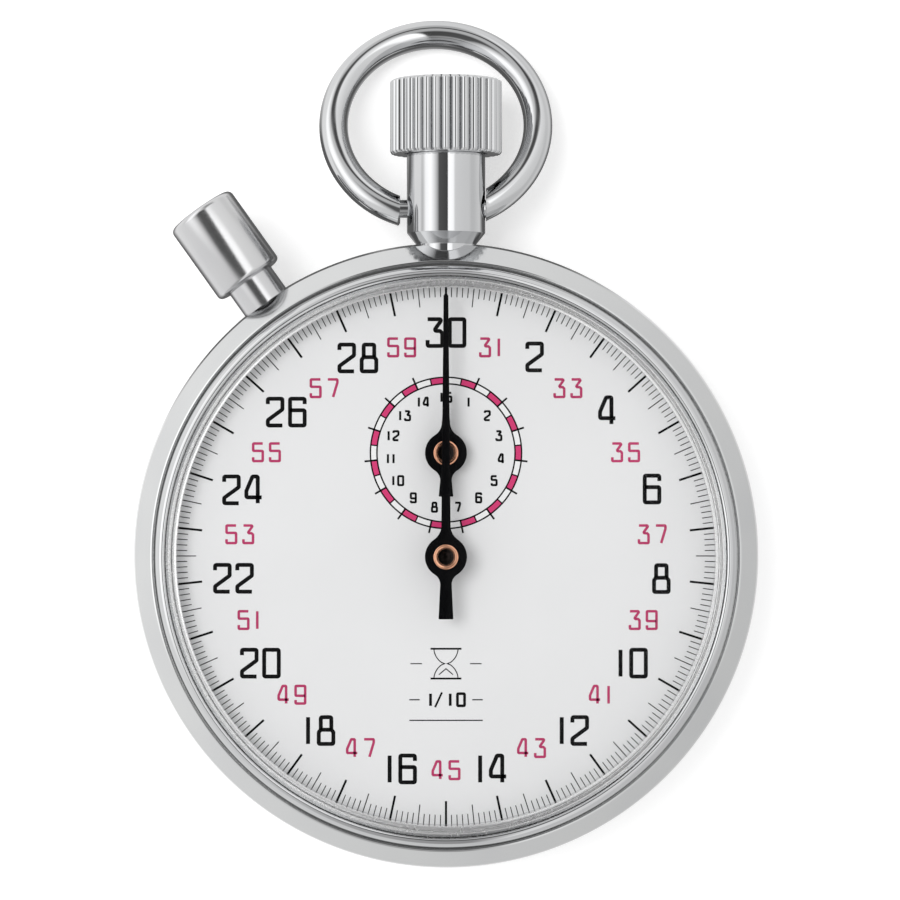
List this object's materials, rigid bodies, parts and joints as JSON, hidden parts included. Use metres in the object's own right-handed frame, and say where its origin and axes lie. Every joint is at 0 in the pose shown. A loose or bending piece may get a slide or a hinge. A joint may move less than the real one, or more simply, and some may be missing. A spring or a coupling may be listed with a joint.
{
  "type": "mechanical stopwatch",
  "caption": "Pocket stopwatch with a round polished case, domed crystal, crown under a swinging bow, side return button, centre seconds hand and small minute counter.",
  "frame": {"origin": "centre of the flat face of the case back, which the watch rests on", "axes": "+Z out of the dial, +Y towards the crown at 12 o'clock, +X towards 3 o'clock"},
  "size_m": [0.055, 0.0754, 0.0164],
  "materials": {
    "case_chrome": "bright mirror-polished chrome plate",
    "case_back_chrome": "bright chrome plate with fine brushing",
    "button_satin": "satin chrome plate",
    "crystal_acrylic": "clear domed acrylic",
    "dial_enamel": "matt off-white lacquer",
    "hand_black": "black lacquer",
    "copper": "turned copper-coloured collet",
    "plate_nickel": "nickel-plated brass, striped",
    "ring_brass": "satin brass",
    "wheel_brass": "gilt brass",
    "balance_brass": "polished nickel-brass",
    "steel": "polished steel",
    "spring_steel": "hardened spring steel",
    "blued_screws": "blued steel",
    "ruby": "synthetic ruby"
  },
  "bodies": {
    "case": {"middle_case": "case_chrome", "case_back": "case_back_chrome", "bezel": "case_chrome", "crystal": "crystal_acrylic", "pendant_tube": "case_chrome", "movement_ring": "ring_brass", "pusher_tube": "button_satin", "dial": "dial_enamel", "main_plate": "plate_nickel", "barrel_bridge": "plate_nickel", "train_bridge": "plate_nickel", "pallet_bridge": "plate_nickel", "balance_cock": "plate_nickel", "movement_screws": "blued_screws", "jewels": "ruby", "click_spring": "spring_steel", "hammer_spring": "spring_steel", "crown_spring": "spring_steel", "pusher_spring": "spring_steel", "hairspring": "spring_steel"},
    "bow": {"bow": "case_chrome"},
    "push_collar": {"push_collar": "steel"},
    "crown": {"crown": "case_chrome", "winding_stem": "steel"},
    "pusher": {"pusher": "button_satin"},
    "winding_pinion": {"winding_pinion": "steel"},
    "crown_wheel": {"crown_wheel": "steel"},
    "barrel_arbor": {"barrel_arbor": "steel", "ratchet_wheel": "steel", "ratchet_screw": "blued_screws"},
    "click": {"click": "steel"},
    "barrel": {"barrel_drum": "ring_brass", "barrel_cover": "ring_brass", "mainspring": "spring_steel"},
    "great": {"great_wheel": "wheel_brass", "great_pinion": "steel"},
    "third": {"third_wheel": "wheel_brass", "third_pinion": "steel"},
    "seconds": {"seconds_wheel": "wheel_brass", "seconds_arbor": "steel", "seconds_heart": "steel", "seconds_hand": "hand_black", "seconds_collet": "copper"},
    "escape": {"escape_wheel": "wheel_brass", "escape_pinion": "steel"},
    "pallet_fork": {"pallet_fork": "steel", "pallet_stones": "ruby"},
    "balance": {"balance_wheel": "balance_brass", "balance_staff": "steel"},
    "transfer": {"transfer_wheel": "wheel_brass"},
    "minutes": {"minute_wheel": "wheel_brass", "minute_arbor": "steel", "minute_heart": "steel", "minute_hand": "hand_black", "minute_collet": "copper"},
    "minute_jumper": {"minute_jumper": "spring_steel"},
    "column_wheel": {"column_wheel": "steel"},
    "start_lever": {"start_lever": "steel"},
    "reset_hammer": {"reset_hammer": "steel"},
    "brake_lever": {"brake_lever": "steel"}
  },
  "joints": [
    {"name": "bow_swing", "type": "hinge", "parent": "case", "child": "bow", "pos_m": [0, 0.0305, 0.0078], "axis": [1, 0, 0], "range_deg": [-90, 134]},
    {"name": "crown_press", "type": "slide", "parent": "case", "child": "push_collar", "axis": [0, -1, 0], "range_m": [0, 0.0012], "stiffness_N_per_m": 3000, "springref_m": -0.0004, "deforming": ["crown_spring"]},
    {"name": "crown_wind", "type": "hinge", "parent": "push_collar", "child": "crown", "pos_m": [0, 0.036, 0.0078], "axis": [0, 1, 0], "continuous": true},
    {"name": "pusher_press", "type": "slide", "parent": "case", "child": "pusher", "axis": [0.5807, -0.8141, 0], "range_m": [0, 0.0015], "stiffness_N_per_m": 2500, "springref_m": -0.0004, "deforming": ["pusher_spring"]},
    {"name": "winding_pinion_turn", "type": "hinge", "parent": "case", "child": "winding_pinion", "pos_m": [0, 0.0185, 0.0078], "axis": [0, 1, 0], "continuous": true},
    {"name": "crown_wheel_turn", "type": "hinge", "parent": "case", "child": "crown_wheel", "pos_m": [0, 0.0145, 0.0049], "axis": [0, 0, 1], "continuous": true},
    {"name": "ratchet_turn", "type": "hinge", "parent": "case", "child": "barrel_arbor", "pos_m": [0.00909, 0.00925, 0.0049], "axis": [0, 0, 1], "continuous": true},
    {"name": "click_rock", "type": "hinge", "parent": "case", "child": "click", "pos_m": [0.00834, 0.01782, 0.0049], "axis": [0, 0, 1], "range_deg": [-3, 1], "stiffness_Nm_per_rad": 0.00002},
    {"name": "seconds_turn", "type": "hinge", "parent": "case", "child": "seconds", "pos_m": [0, 0, 0.008], "axis": [0, 0, 1], "continuous": true},
    {"name": "transfer_turn", "type": "hinge", "parent": "case", "child": "transfer", "pos_m": [0.00117, 0.00404, 0.0037], "axis": [0, 0, 1], "continuous": true},
    {"name": "minutes_turn", "type": "hinge", "parent": "case", "child": "minutes", "pos_m": [0, 0.009, 0.008], "axis": [0, 0, 1], "continuous": true},
    {"name": "third_turn", "type": "hinge", "parent": "case", "child": "third", "pos_m": [0.00502, -0.00092, 0.0074], "axis": [0, 0, 1], "continuous": true},
    {"name": "great_turn", "type": "hinge", "parent": "case", "child": "great", "pos_m": [0.01055, 0.00098, 0.0065], "axis": [0, 0, 1], "continuous": true},
    {"name": "barrel_turn", "type": "hinge", "parent": "case", "child": "barrel", "pos_m": [0.00909, 0.00925, 0.0076], "axis": [0, 0, 1], "continuous": true},
    {"name": "escape_turn", "type": "hinge", "parent": "case", "child": "escape", "pos_m": [-0.00396, -0.00278, 0.0073], "axis": [0, 0, 1], "continuous": true},
    {"name": "pallet_rock", "type": "hinge", "parent": "case", "child": "pallet_fork", "pos_m": [-0.00597, -0.00564, 0.0073], "axis": [0, 0, 1], "range_deg": [-4, 4]},
    {"name": "balance_swing", "type": "hinge", "parent": "case", "child": "balance", "pos_m": [-0.00884, -0.00974, 0.0067], "axis": [0, 0, 1], "range_deg": [-220, 220], "stiffness_Nm_per_rad": 0.0000012, "deforming": ["hairspring"]},
    {"name": "minute_jumper_rock", "type": "hinge", "parent": "case", "child": "minute_jumper", "pos_m": [-0.006, 0.0122, 0.0041], "axis": [0, 0, 1], "range_deg": [-2, 1], "stiffness_Nm_per_rad": 0.00002},
    {"name": "column_wheel_turn", "type": "hinge", "parent": "case", "child": "column_wheel", "pos_m": [-0.0155, 0.003, 0.004], "axis": [0, 0, 1], "continuous": true},
    {"name": "start_lever_swing", "type": "hinge", "parent": "case", "child": "start_lever", "pos_m": [-0.0069, 0.0142, 0.0036], "axis": [0, 0, 1], "range_deg": [-13.23, 0.2]},
    {"name": "hammer_swing", "type": "hinge", "parent": "case", "child": "reset_hammer", "pos_m": [-0.0106, -0.0002, 0.0028], "axis": [0, 0, 1], "range_deg": [-10.02, 0.2]},
    {"name": "brake_rock", "type": "hinge", "parent": "case", "child": "brake_lever", "pos_m": [-0.0165, -0.0046, 0.0067], "axis": [0, 0, 1], "range_deg": [-4, 0.5], "stiffness_Nm_per_rad": 0.00002}
  ],
  "couplings": [
    {"joint": "winding_pinion_turn", "follows": "crown_wind", "ratio": 1},
    {"joint": "start_lever_swing", "follows": "crown_press", "rad_per_m": -188.68},
    {"joint": "hammer_swing", "follows": "pusher_press", "rad_per_m": -114.34},
    {"joint": "transfer_turn", "follows": "seconds_turn", "ratio": -0.16667},
    {"joint": "minutes_turn", "follows": "seconds_turn", "ratio": 0.033333},
    {"joint": "third_turn", "follows": "seconds_turn", "ratio": -0.13333},
    {"joint": "great_turn", "follows": "seconds_turn", "ratio": 0.016667},
    {"joint": "barrel_turn", "follows": "seconds_turn", "ratio": -0.0027778},
    {"joint": "escape_turn", "follows": "seconds_turn", "ratio": -10},
    {"joint": "crown_wheel_turn", "follows": "crown_wind", "ratio": 0.5},
    {"joint": "ratchet_turn", "follows": "crown_wind", "ratio": -0.375}
  ]
}
